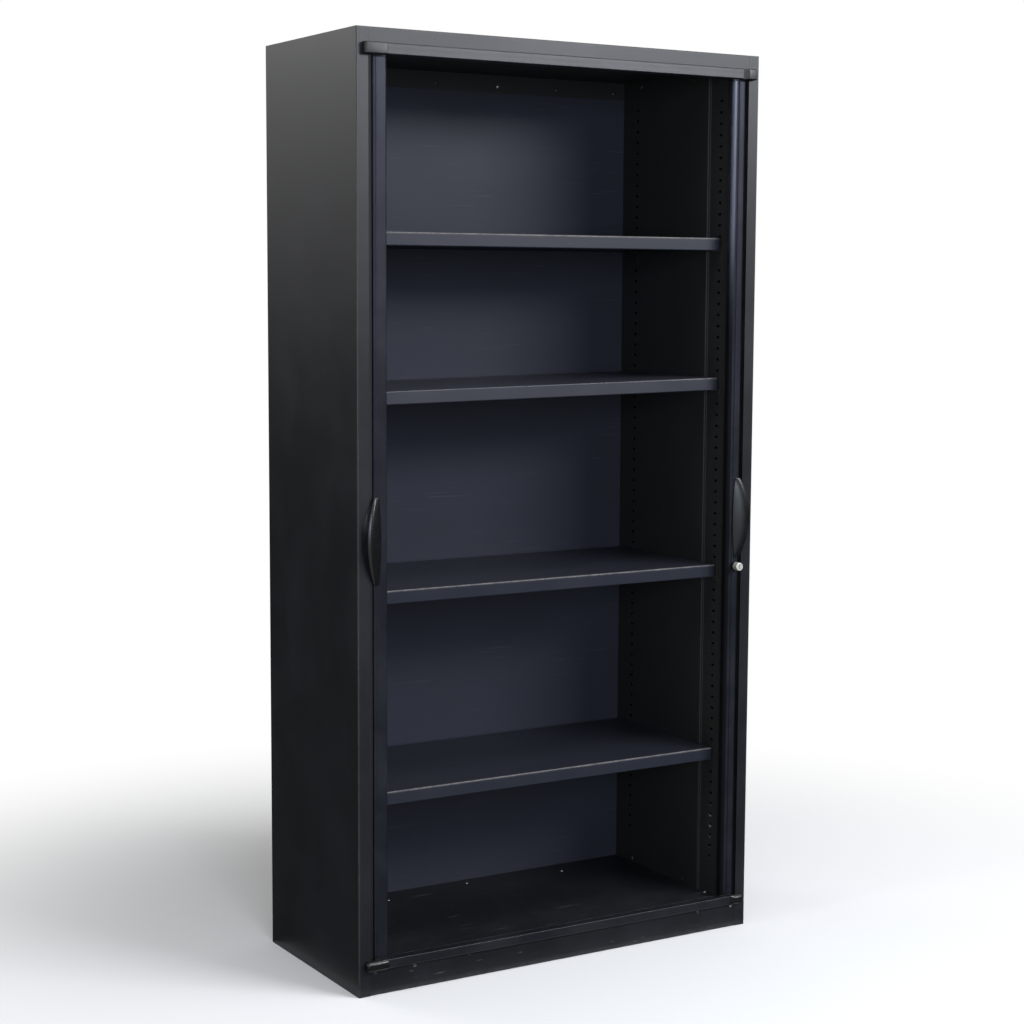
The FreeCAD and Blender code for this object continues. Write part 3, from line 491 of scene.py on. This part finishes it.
def plated(name, colour_of, roughness, spangle, bare_and_glint_spots=()):
    """Steel or brass with a bright plate: nickel brushed on the lock, zinc left as plated.

    The eye sees a mirror broken by fine wipes and by patches of duller plate. Where bare is given, the
    piece was coated with the sheet round it, and only the heads at those spots are rubbed bright.
    """
    look = bpy.context.scene.cupboard_finishes
    material, tree, shader, place = begin(name)
    patches = add(tree, "ShaderNodeTexNoise", {"Vector": place, "Scale": per_metre(spangle), "Detail": 5.0,
                                               "Roughness": 0.6}).outputs["Fac"]
    bright = getattr(look, colour_of)
    dull = tuple(0.62 * c for c in bright)
    colour = add(tree, "ShaderNodeMix", {0: patches, 6: (*bright, 1), 7: (*dull, 1)},
                 data_type="RGBA").outputs[2]
    rough = add(tree, "ShaderNodeMapRange", {"Value": patches, "From Min": 0.3, "From Max": 0.7,
                                             "To Min": roughness,
                                             "To Max": roughness + 0.14}).outputs["Result"]
    bump = add(tree, "ShaderNodeBump", {"Height": patches, "Strength": 0.08,
                                        "Distance": 0.0002}).outputs["Normal"]
    metal = 1.0
    if bare_and_glint_spots:
        metal = rubbed_and_glint_spots(tree, place, bare_and_glint_spots, HEAD_WEAR)
        colour = add(tree, "ShaderNodeMix", {0: metal, 6: (*look.coat, 1), 7: colour},
                     data_type="RGBA").outputs[2]
    feed(tree, shader, {"Base Color": colour, "Roughness": rough, "Normal": bump, "Metallic": metal})
    return material


# Piece helpers

def dress(material, *names):
    """Give CAD nodes a material through their material slots."""
    for name in names:
        node = NODES[name]
        if not node.material_slots:
            node.data.materials.append(material)
        for slot in node.material_slots:
            slot.material = material


def solid(name, rings, material, ends=None, smooth=True):
    """Piece from a grid of points (stations, points round a closed section, 3).

    Neighbouring stations are joined by quads. ends lists the faces that close the first and the last
    section; without it, one face closes each.
    """
    stations, around = rings.shape[:2]
    index = np.arange(stations * around).reshape(stations, around)
    after = np.roll(index, -1, axis=1)
    quads = np.stack([index[:-1], after[:-1], after[1:], index[1:]], axis=-1).reshape(-1, 4)
    if ends is None:
        ends = [index[0, ::-1].tolist(), index[-1].tolist()]
    mesh = bpy.data.meshes.new(name)
    mesh.from_pydata(rings.reshape(-1, 3).tolist(), [], quads.tolist() + ends)
    if signed_volume(rings) < 0:
        mesh.flip_normals()
    mesh.polygons.foreach_set("use_smooth", np.full(len(mesh.polygons), smooth))
    mesh.update()
    mesh.materials.append(material)
    piece = bpy.data.objects.new(name, mesh)
    bpy.context.scene.collection.objects.link(piece)
    return piece


def signed_volume(rings):
    """Six times the volume of the skin between the sections, positive if its quads point outwards."""
    after = np.roll(rings, -1, axis=1)
    a, b, c, d = rings[:-1], after[:-1], after[1:], rings[1:]
    return np.einsum("ijk,ijk->", a, np.cross(b, c)) + np.einsum("ijk,ijk->", a, np.cross(c, d))


def bevelled(piece, width):
    """Round the sharp edges of a piece."""
    bevel = piece.modifiers.new("Rounded edges", "BEVEL")
    bevel.width = width
    bevel.segments = 3
    bevel.limit_method = "ANGLE"
    bevel.angle_limit = SHARP_TURN
    bevel.harden_normals = True


# Shapes

def handle_rings(side, low, high, moulds):
    """Bow handle as sections stacked up the post.

    Along the height, t runs from -1 to 1 and the bow is 1 - t*t. Each section starts at the inner
    edge, climbs a slope that rounds off as v + belly*v*(1 - v), domes over the crown as 1 - s*s while
    it falls towards the rim as the square of its way there, turns sharply at the rim and drops down
    the finger side, hollowed as 4*v*(1 - v), to the foot, and returns along the post. The height falls
    off at the ends as sqrt(1 - t**10).
    """
    inner, outer = sorted((abs(low[0]), abs(high[0])))
    back, top = high[1], high[1] - low[1]
    t = np.sin(np.linspace(-1, 1, 81) * math.pi / 2)[:, None]
    bow = 1 - t ** 2
    near = inner + moulds.taper * t ** 2
    tip = inner + moulds.taper + moulds.tip_width
    far = tip + (outer - tip) * bow
    rim = far - moulds.lean * bow
    crown = moulds.crown + moulds.spread * bow
    height = moulds.near_height + (top - moulds.near_height) * bow
    crest = moulds.tip_height + (height - moulds.tip_height) * np.sqrt(1 - t ** 10)
    shoulder = moulds.shoulder * crest
    fall = moulds.fall * crest
    rise = np.linspace(0, 1, 8)[None, :-1]
    slope_x = near + (rim - crown - near) * rise
    slope_y = moulds.edge + (shoulder - moulds.edge) * (rise + moulds.belly * rise * (1 - rise))
    s = np.linspace(-1, 1, 13)[None, :]
    crown_x = rim - crown * (1 - s) / 2
    crown_y = shoulder + (crest - shoulder) * (1 - s ** 2) - fall * ((1 + s) / 2) ** 2
    v = np.linspace(0, 1, 10)[None, 1:]
    under_x = rim + (far - rim) * v - (moulds.tip_scoop + moulds.scoop * bow) * 4 * v * (1 - v)
    under_y = shoulder - fall + (moulds.clear - shoulder + fall) * v
    foot = np.full_like(near, tip - moulds.foot)
    floor = np.zeros_like(near)
    x = np.concatenate([slope_x, crown_x, under_x, foot, foot, near], axis=1)
    y = np.concatenate([slope_y, crown_y, under_y, floor + moulds.clear, floor, floor], axis=1)
    middle, half = (low[2] + high[2]) / 2, (high[2] - low[2]) / 2
    z = np.broadcast_to(middle + t * half, x.shape)
    return np.stack([side * x, back - y, z], axis=-1)


def cap_rings(side, low, high, rail_end, rail_front, upper, moulds):
    """Corner cap as level sections stacked from its underside to its top.

    In plan the section runs along the fascia, steps forward where the cap laps over the rail's end,
    goes round a small radius, over a face that swells as sin(pi*w)**0.8 across its width, and round
    the radius of the outer end. A cap that doesn't lap starts level with the rail and slopes out over
    the first part of its width. Near the top and the bottom the section draws in by a quarter circle,
    r - r*sin(a).
    """
    inner, outer = sorted((abs(low[0]), abs(high[0])))
    back, proud = high[1], high[1] - low[1]
    lap = back - rail_front
    laps = inner < rail_end
    if upper:
        edge, end, bulge = moulds.cap_crisp, moulds.cap_corner, moulds.cap_swell
    else:
        edge, end, bulge = moulds.cap_edge, moulds.cap_round, moulds.cap_bulge
    straight = 0.0005  # left between the outer end's radius and the fascia
    angle = np.linspace(0, math.pi / 2, 9)
    lift = np.concatenate([low[2] + edge * (1 - np.cos(angle)), high[2] - edge * (1 - np.cos(angle[::-1]))])
    draw = np.concatenate([edge * (1 - np.sin(angle)), edge * (1 - np.sin(angle[::-1]))])[:, None]
    none = 0 * draw
    face = proud - bulge
    small = moulds.cap_inner
    large = np.minimum(end, face - draw - straight)
    start = inner + (draw if laps else none)
    arc = np.linspace(0, math.pi / 2, 12)[None, :]
    along = np.linspace(0, 1, 20)[None, 1:-1]
    x = [start + small * (1 - np.cos(arc)),
         start + small + (outer - large - draw - start - small) * along,
         outer - draw - large * (1 - np.sin(arc)),
         outer - draw]
    y = [face - draw - small * (1 - np.sin(arc)),
         face - draw + 0 * along,
         face - draw - large * (1 - np.cos(arc)),
         none]
    head_x = [rail_end + none, rail_end + none] if laps else [start]
    head_y = [none, lap + none] if laps else [none]
    x = np.concatenate(head_x + x, axis=1)
    y = np.concatenate(head_y + y, axis=1)
    share = np.clip((x - inner) / (outer - inner), 0, 1)
    swell = bulge * np.sin(math.pi * share) ** 0.8
    y = y + swell * np.clip((y - lap) / (face - lap), 0, 1)
    if laps:
        y = np.where(x < rail_end, np.maximum(y, lap + moulds.cap_gap), y)
    else:
        y = np.where(y > lap, lap + (y - lap) * np.clip(share / moulds.cap_slope, 0, 1), y)
    z = np.broadcast_to(lift[:, None], x.shape)
    return np.stack([side * x, back - y, z], axis=-1)


def dome_rings(centre, radius, height):
    """Domed rivet head on a level sheet: rings of radius R*cos(s) at the height h*sin(s).

    The last ring stops short of the pole, and a small flat face closes it.
    """
    s = np.linspace(0, 0.97, 7)[:, None] * math.pi / 2
    turn = np.linspace(0, 2 * math.pi, 24, endpoint=False)[None, :]
    x = centre[0] + radius * np.cos(s) * np.cos(turn)
    y = centre[1] + radius * np.cos(s) * np.sin(turn)
    z = centre[2] + height * np.sin(s) + 0 * turn
    return np.stack([x, y, z], axis=-1)


def curtain_rings(word, side, sizes):
    """Front part of a curtain, from the corner to inside its post, folded up inside the post at rest.

    So a point that belongs at a distance d from the corner when shut lies at the w where room*w +
    slide*s(w) = d. Returns the lower and the upper outline, and the distance from the middle to the
    corner's end.
    """
    post_low, post_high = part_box("post_" + word)
    slat_low, slat_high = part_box("curtain_" + word)
    slide = next(j for j in frame["joints"] if j["name"] == word + "_slide")
    travel = slide["range_m"][1]
    start = max(abs(post_low[0]), abs(post_high[0])) - sizes.wall
    reach = sizes.room + travel
    count = int(reach / sizes.pitch)
    pitch = reach / count
    u = np.linspace(-1, 1, 15)[:-1]
    distance = ((np.arange(count)[:, None] + (u[None, :] + 1) / 2) * pitch).ravel()
    joint = np.minimum(1 + u, 1 - u) * pitch / 2
    groove = sizes.groove * np.exp(-(joint / (sizes.groove_width / 2)) ** 2)
    out = np.tile(sizes.thickness / 2 + sizes.crown * (1 - u ** 2) - groove, count)
    w = np.linspace(0, 1, 20001)
    shut = sizes.room * w + travel * w * w * (3 - 2 * w)
    place = start - sizes.room * np.interp(distance, shut, w)
    middle = post_low[1] + sizes.set_back
    x = side * np.concatenate([place, place[::-1]])
    y = np.concatenate([middle - out, middle + out[::-1] * sizes.back])
    outlines = [np.stack([x, y, np.full_like(x, z)], axis=-1) for z in (slat_low[2], slat_high[2])]
    return np.stack(outlines), start


# Operators

class CUPBOARD_OT_sheets(bpy.types.Operator):
    """Coat the folded sheets: sides, top, plinth, base, inner panels, back, floor and shelves"""
    bl_idname = "cupboard.sheets"
    bl_label = "Coat the sheets"

    def execute(self, context):
        low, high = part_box("side_panel_left")
        front = low[1]
        # the pale lines along these front folds are partly wear and partly a painted highlight
        folds = [(0, low[0], 1, front), (0, -low[0], 1, front), (1, front, 2, high[2])]
        dress(powder_coat("Black powder coat, outside", edges=folds, worn=0.1),
              "side_panel_left", "side_panel_right", "top_panel", "base_panel")
        dress(powder_coat("Black powder coat, kicked plinth", scuffs=0.012, ior=1.25,
                          scratches=(45, 45, 8, 0.2)), "plinth")
        # the back, walls and shelves take the paler copies of the coat, which are painted light
        dress(powder_coat("Black powder coat, back", "back_coat_painted_lighter", scratches=(150, 150, 2.2, 0.1), ior=1.18),
              "back_panel")
        dress(powder_coat("Black powder coat, inside", "wall_coat_painted_lighter", ior=1.25),
              "inner_panel_left", "ceiling_panel", *["clips_%d" % number for number in SHELVES],
              "angle_bottom_left", "angle_bottom_right", "angle_top_left", "angle_top_right")
        # painted glints: pale rings at the lowest shelf hole edges on the right, the fourth brightest of all
        wall, set_back, lowest, pitch = 0.437, 0.052, 0.1555, 0.025
        holes_with_painted_glints = [((wall, front + set_back, lowest + pitch * step), strength)
                 for step, strength in enumerate((0.03, 0.04, 0.12, 0.4, 0.3, 0.05))]
        dress(powder_coat("Black powder coat, worn holes", "wall_coat_painted_lighter", bare_and_glint_spots=holes_with_painted_glints, ior=1.25),
              "inner_panel_right")
        dress(powder_coat("Black powder coat, dusty floor", dust=0.06, ior=1.25,
                          scratches=(120, 22, 22, 0.12)), "floor_panel")
        for number in SHELVES:
            name = "shelf_%d" % number
            low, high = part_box(name)
            # the slanting third shelf has the glossiest coat; each shelf's pale front fold is partly wear and
            # partly a painted highlight
            dress(powder_coat("Black powder coat, shelf %d" % number, "shelf_coat_painted_lighter", dust=0.04, worn=0.5,
                              edges=[(1, low[1], 2, high[2])], ior=1.43 if number == 3 else 1.3), name)
        return {"FINISHED"}


class CUPBOARD_OT_profiles(bpy.types.Operator):
    """Coat the rails and the posts, and finish the tracks and the end fittings"""
    bl_idname = "cupboard.profiles"
    bl_label = "Coat the profiles"

    def execute(self, context):
        dress(drawn_profile("Black coated profile, rail", 0, 1.34, 0.0005, "#ffffff"),
              "top_rail", "bottom_rail")
        # the posts' bluish reflection tint #dfe4ff is a painted reflection colour
        dress(drawn_profile("Black coated profile, post", 2, 1.26, 0.006, "#dfe4ff"), "post_left")
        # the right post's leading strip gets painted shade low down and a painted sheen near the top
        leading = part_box("post_right")[0][0]
        dress(drawn_profile("Black coated profile, handled post", 2, 1.26, 0.006, "#dfe4ff", leading),
              "post_right")
        guide = moulded_plastic("Black acetal, moulded", "plastic", 0.48, 2.0)
        dress(guide, *[name for name in NODES if name.startswith(("track_", "shoe_"))])
        return {"FINISHED"}


class CUPBOARD_OT_mouldings(bpy.types.Operator):
    """Make the bow handles and the corner caps as rounded mouldings"""
    bl_idname = "cupboard.mouldings"
    bl_label = "Make the mouldings"

    def execute(self, context):
        moulds = context.scene.cupboard_mouldings
        plastic = moulded_plastic("Black ABS, moulded", "plastic", 0.25, 1.6)
        dull = moulded_plastic("Black ABS, dulled", "plastic", 0.36, 1.6, 1.36)
        handled = moulded_plastic("Black ABS, dulled by hands", "plastic", 0.27, 1.6, 1.33)
        dress(plastic, "lock_collar")
        for word, side in SIDES:
            node = "handle_" + word
            handle = solid("bow_" + node, handle_rings(side, *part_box(node), moulds), handled)
            bevelled(handle, moulds.handle_bevel)
            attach(handle, word + "_door")
            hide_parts(node)
            for level in ("top", "bottom"):
                node = "cap_%s_%s" % (level, word)
                upper = level == "top"
                rail_low, rail_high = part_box(level + "_rail")
                rings = cap_rings(side, *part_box(node), rail_high[0], rail_low[1], upper, moulds)
                cap = solid("corner_" + node, rings, dull if upper else plastic)
                bevelled(cap, moulds.cap_bevel)
                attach(cap, "carcass")
                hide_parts(node)
        return {"FINISHED"}


class CUPBOARD_OT_curtains(bpy.types.Operator):
    """Make the part of each curtain that follows its post across the opening"""
    bl_idname = "cupboard.curtains"
    bl_label = "Make the curtains"

    def execute(self, context):
        sizes = context.scene.cupboard_curtains
        slats = extruded_slat("Black PVC, extruded slat")
        dress(slats, "curtain_left", "curtain_right")
        for word, side in SIDES:
            rings, start = curtain_rings(word, side, sizes)
            # a strip of quads between front and back closes each end
            around = rings.shape[1]
            index = np.arange(around // 2 - 1)
            strip = np.stack([index, index + 1, around - 2 - index, around - 1 - index], axis=-1)
            ends = strip[:, ::-1].tolist() + (strip + around).tolist()
            curtain = solid("curtain_front_" + word, rings, slats, ends, smooth=False)
            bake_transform(curtain)
        return {"FINISHED"}


class CUPBOARD_OT_fittings(bpy.types.Operator):
    """Plate the lock, the keeper, the rivets and the screws, and dome the rivets of the floor"""
    bl_idname = "cupboard.fittings"
    bl_label = "Plate the fittings"

    def execute(self, context):
        sizes = context.scene.cupboard_fittings
        dress(plated("Nickel plate, satin brass", "nickel", 0.55, 6.0), "lock_barrel")
        dress(plated("Nickel plate, turned plug", "nickel", 0.48, 3.0), "lock_plug")
        dress(plated("Zinc plate, passivated steel", "zinc", 0.34, 4.0), "lock_hook", "keeper")
        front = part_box("side_panel_left")[0][1]
        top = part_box("floor_panel")[1][2]
        floor = [(x, front + y, top) for x, y in ((-0.431, 0.061), (-0.235, 0.3735), (-0.0124, 0.4017),
                                                  (0.235, 0.3735), (0.431, 0.061))]
        # how far each head is rubbed bright: back, floor, plinth, then right inner panel
        spots = [((0.08, front + 0.426, 1.925), 1.0),
                 (floor[2], 1.0), (floor[3], 0.8), (floor[4], 1.0),
                 ((0.461, front, 0.0485), 0.35), ((-0.368, front, 0.0485), 0.1),
                 ((0.43, front + 0.356, 1.936), 0.15), ((0.43, front + 0.356, 0.079), 0.3),
                 ((0.446, front + 0.02, 0.091), 0.35)]
        dress(plated("Zinc plate, coated over", "zinc", 0.34, 4.0, spots), "back_rivets", "floor_rivets",
              "plinth_screws", "wall_rivets_left", "wall_rivets_right")
        zinc = plated("Zinc plate, domed head", "zinc", 0.3, 4.0)
        for number, centre in enumerate(floor, 1):
            rings = dome_rings(centre, sizes.head_radius, sizes.head_height)
            head = solid("rivet_head_%d" % number, rings, zinc)
            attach(head, "carcass")
        return {"FINISHED"}


class CUPBOARD_OT_stage(bpy.types.Operator):
    """Set the pale floor, the soft lights, the surroundings and the camera"""
    bl_idname = "cupboard.stage"
    bl_label = "Set the stage"

    def execute(self, context):
        scene = context.scene
        stage = scene.cupboard_stage
        scene.view_settings.view_transform = "Standard"
        reach, level = 30.0, -0.0005
        corners = [(x * reach, y * reach, level) for x, y in ((-1, -1), (1, -1), (1, 1), (-1, 1))]
        mesh = bpy.data.meshes.new("floor")
        mesh.from_pydata(corners, [], [(0, 1, 2, 3)])
        mesh.materials.append(self.paper(stage))
        floor = bpy.data.objects.new("floor", mesh)
        scene.collection.objects.link(floor)

        world = bpy.data.worlds.new("Studio")
        world.use_nodes = True
        tree = world.node_tree
        feed(tree, tree.nodes["Background"], {"Color": (1, 1, 1, 1),
                                              "Strength": self.seen(tree, stage.ambient)})
        scene.world = world

        self.lamp("key", stage.key, (2.5, -4.1, 3.0), (0, -0.2, 1.4), (2.6, 1.0), (0.9, 0.93, 1.0))
        self.lamp("fill", stage.fill, (-1.9, -5.0, 1.8), (0.1, 0, 1.2), (1.8, 1.6), (0.74, 0.84, 1.0))
        self.lamp("rear", stage.rear, (-2.6, 3.8, 3.3), (-0.5, 0, 1.4), (1.6, 1.2), (1.0, 1.0, 0.98))
        self.lamp("side", stage.side, (-3.1, -0.4, 2.1), (-0.48, -0.22, 1.0), (0.4, 0.4), (1.0, 1.0, 1.0))
        self.lamp("top", stage.top, (0.6, -1.4, 4.2), (0.6, -1.39, 0), (3.0, 1.2), (1.0, 1.0, 1.0))

        self.screen(stage)
        camera = bpy.data.cameras.new("camera")
        camera.lens = stage.lens
        camera.sensor_width = 36.0
        eye = bpy.data.objects.new("camera", camera)
        eye.location = stage.eye
        eye.rotation_euler = stage.aim
        scene.collection.objects.link(eye)
        scene.camera = eye
        return {"FINISHED"}

    def seen(self, tree, ambient):
        """Strength of the surroundings: white where the camera or a mirror sees them, ambient elsewhere."""
        path = add(tree, "ShaderNodeLightPath").outputs
        shown = strongest(tree, [path[ray] for ray in ("Is Camera Ray", "Is Glossy Ray",
                                                       "Is Transmission Ray")])
        return add(tree, "ShaderNodeMapRange", {"Value": shown, "To Min": ambient,
                                                "To Max": 1.0}).outputs["Result"]

    def paper(self, stage):
        """Pale studio paper that keeps the shadow near the cupboard and fades to white further off."""
        material, tree, shader, place = begin("Studio paper")
        tree.nodes.remove(shader)
        away = add(tree, "ShaderNodeVectorMath", {0: place}, operation="LENGTH").outputs["Value"]
        fade = add(tree, "ShaderNodeMapRange", {"Value": away, "From Min": 0.75, "From Max": 2.2},
                   interpolation_type="SMOOTHSTEP").outputs["Result"]
        fibres = add(tree, "ShaderNodeTexNoise", {"Vector": place, "Scale": per_metre(8)}).outputs["Fac"]
        bump = add(tree, "ShaderNodeBump", {"Height": fibres, "Strength": 0.02}).outputs["Normal"]
        near = add(tree, "ShaderNodeBsdfDiffuse", {"Color": (*stage.floor, 1), "Normal": bump}).outputs[0]
        far = add(tree, "ShaderNodeEmission", {"Color": (1, 1, 1, 1),
                                               "Strength": self.seen(tree, stage.ambient)}).outputs[0]
        both = add(tree, "ShaderNodeMixShader", {0: fade, 1: near, 2: far}).outputs[0]
        feed(tree, tree.nodes["Material Output"], {"Surface": both})
        return material

    def screen(self, stage):
        """Dark cloth that only reflections see, on the floor and bent up round the studio.

        Swept round the cupboard: out along the floor from the superellipse (x/w)**10 + (y/d)**10 = 1
        round the foot to the mat's radius, from there, except towards the camera, to the wall and
        straight up, thinning out towards its upper edge. A black cupboard shows its forms by what it
        mirrors, so the cloth keeps its upright faces dark, and the white above it lights their upper
        ends.
        """
        half_width, half_depth, power = 0.53, 0.25, 10
        mat, wall, lift = 0.9, 6.0, 0.001
        first_turn, open_turn = -95, 201
        a = np.radians(np.linspace(first_turn, first_turn + 360, 73))[:, None]
        foot = (np.abs(np.cos(a) / half_width) ** power
                + np.abs(np.sin(a) / half_depth) ** power) ** (-1 / power)
        radius = np.concatenate([foot, mat + 0 * a, wall + 0 * a, wall + 0 * a], axis=1)
        level = np.array([[lift, lift, lift, stage.screen]]) + 0 * a
        points = np.stack([radius * np.cos(a), radius * np.sin(a), level], axis=-1)
        index = np.arange(radius.size).reshape(radius.shape)
        faces = np.stack([index[:-1, :-1], index[:-1, 1:], index[1:, 1:], index[1:, :-1]], axis=-1)
        kept = np.broadcast_to(a[1:] < math.radians(open_turn), faces.shape[:2]) | (np.arange(3) == 0)
        mesh = bpy.data.meshes.new("screen")
        mesh.from_pydata(points.reshape(-1, 3).tolist(), [], faces[kept].tolist())
        material, tree, shader, place = begin("Black studio cloth")
        weave = add(tree, "ShaderNodeTexNoise", {"Vector": place, "Scale": per_metre(20)}).outputs["Fac"]
        shade = add(tree, "ShaderNodeMapRange", {"Value": weave, "To Min": 0.01,
                                                 "To Max": 0.03}).outputs["Result"]
        height = add(tree, "ShaderNodeSeparateXYZ", {"Vector": place}).outputs[2]
        thin = add(tree, "ShaderNodeMapRange", {"Value": height, "From Min": 0.3 * stage.screen,
                                                "From Max": stage.screen, "To Min": 1.0, "To Max": 0.0},
                   interpolation_type="SMOOTHSTEP").outputs["Result"]
        feed(tree, shader, {"Base Color": shade, "Alpha": thin, "Roughness": 1.0})
        mesh.materials.append(material)
        screen = bpy.data.objects.new("screen", mesh)
        bpy.context.scene.collection.objects.link(screen)
        for ray in ("camera", "diffuse", "shadow", "transmission"):
            setattr(screen, "visible_" + ray, False)

    def lamp(self, name, power, place, aim, size, colour):
        """Rectangular soft light that looks at a point."""
        light = bpy.data.lights.new(name, "AREA")
        light.shape = "RECTANGLE"
        light.size, light.size_y = size
        light.energy = power
        light.color = colour
        lamp = bpy.data.objects.new(name, light)
        lamp.location = place
        way = np.array(aim) - np.array(place)
        lamp.rotation_euler = (math.atan2(math.hypot(way[0], way[1]), -way[2]), 0.0,
                               math.atan2(way[1], way[0]) - math.pi / 2)
        lamp.visible_camera = False
        bpy.context.scene.collection.objects.link(lamp)


class CUPBOARD_PT_looks(bpy.types.Panel):
    """Sizes and colours, with one button for each group of pieces"""
    bl_label = "Tambour cupboard"
    bl_idname = "CUPBOARD_PT_looks"
    bl_space_type = "VIEW_3D"
    bl_region_type = "UI"
    bl_category = "Cupboard"

    def draw(self, context):
        for group, operators in PANEL:
            box = self.layout.box()
            values = getattr(context.scene, group)
            for key in values.__annotations__:
                box.prop(values, key)
            for operator in operators:
                box.operator(operator)


PANEL = (
    ("cupboard_finishes", ("cupboard.sheets", "cupboard.profiles")),
    ("cupboard_mouldings", ("cupboard.mouldings",)),
    ("cupboard_curtains", ("cupboard.curtains",)),
    ("cupboard_fittings", ("cupboard.fittings",)),
    ("cupboard_stage", ("cupboard.stage",)),
)
GROUPS = {"cupboard_finishes": CupboardFinishes, "cupboard_mouldings": CupboardMouldings,
          "cupboard_curtains": CupboardCurtains, "cupboard_fittings": CupboardFittings,
          "cupboard_stage": CupboardStage}
CLASSES = (*GROUPS.values(), CUPBOARD_OT_sheets, CUPBOARD_OT_profiles, CUPBOARD_OT_mouldings,
           CUPBOARD_OT_curtains, CUPBOARD_OT_fittings, CUPBOARD_OT_stage, CUPBOARD_PT_looks)


def register():
    for cls in CLASSES:
        bpy.utils.register_class(cls)
    for name, group in GROUPS.items():
        setattr(bpy.types.Scene, name, PointerProperty(type=group))


def unregister():
    for name in GROUPS:
        delattr(bpy.types.Scene, name)
    for cls in reversed(CLASSES):
        bpy.utils.unregister_class(cls)


def main():
    register()
    bpy.ops.cupboard.sheets()
    bpy.ops.cupboard.profiles()
    bpy.ops.cupboard.mouldings()
    bpy.ops.cupboard.curtains()
    bpy.ops.cupboard.fittings()
    bpy.ops.cupboard.stage()


if __name__ == "__main__":
    main()
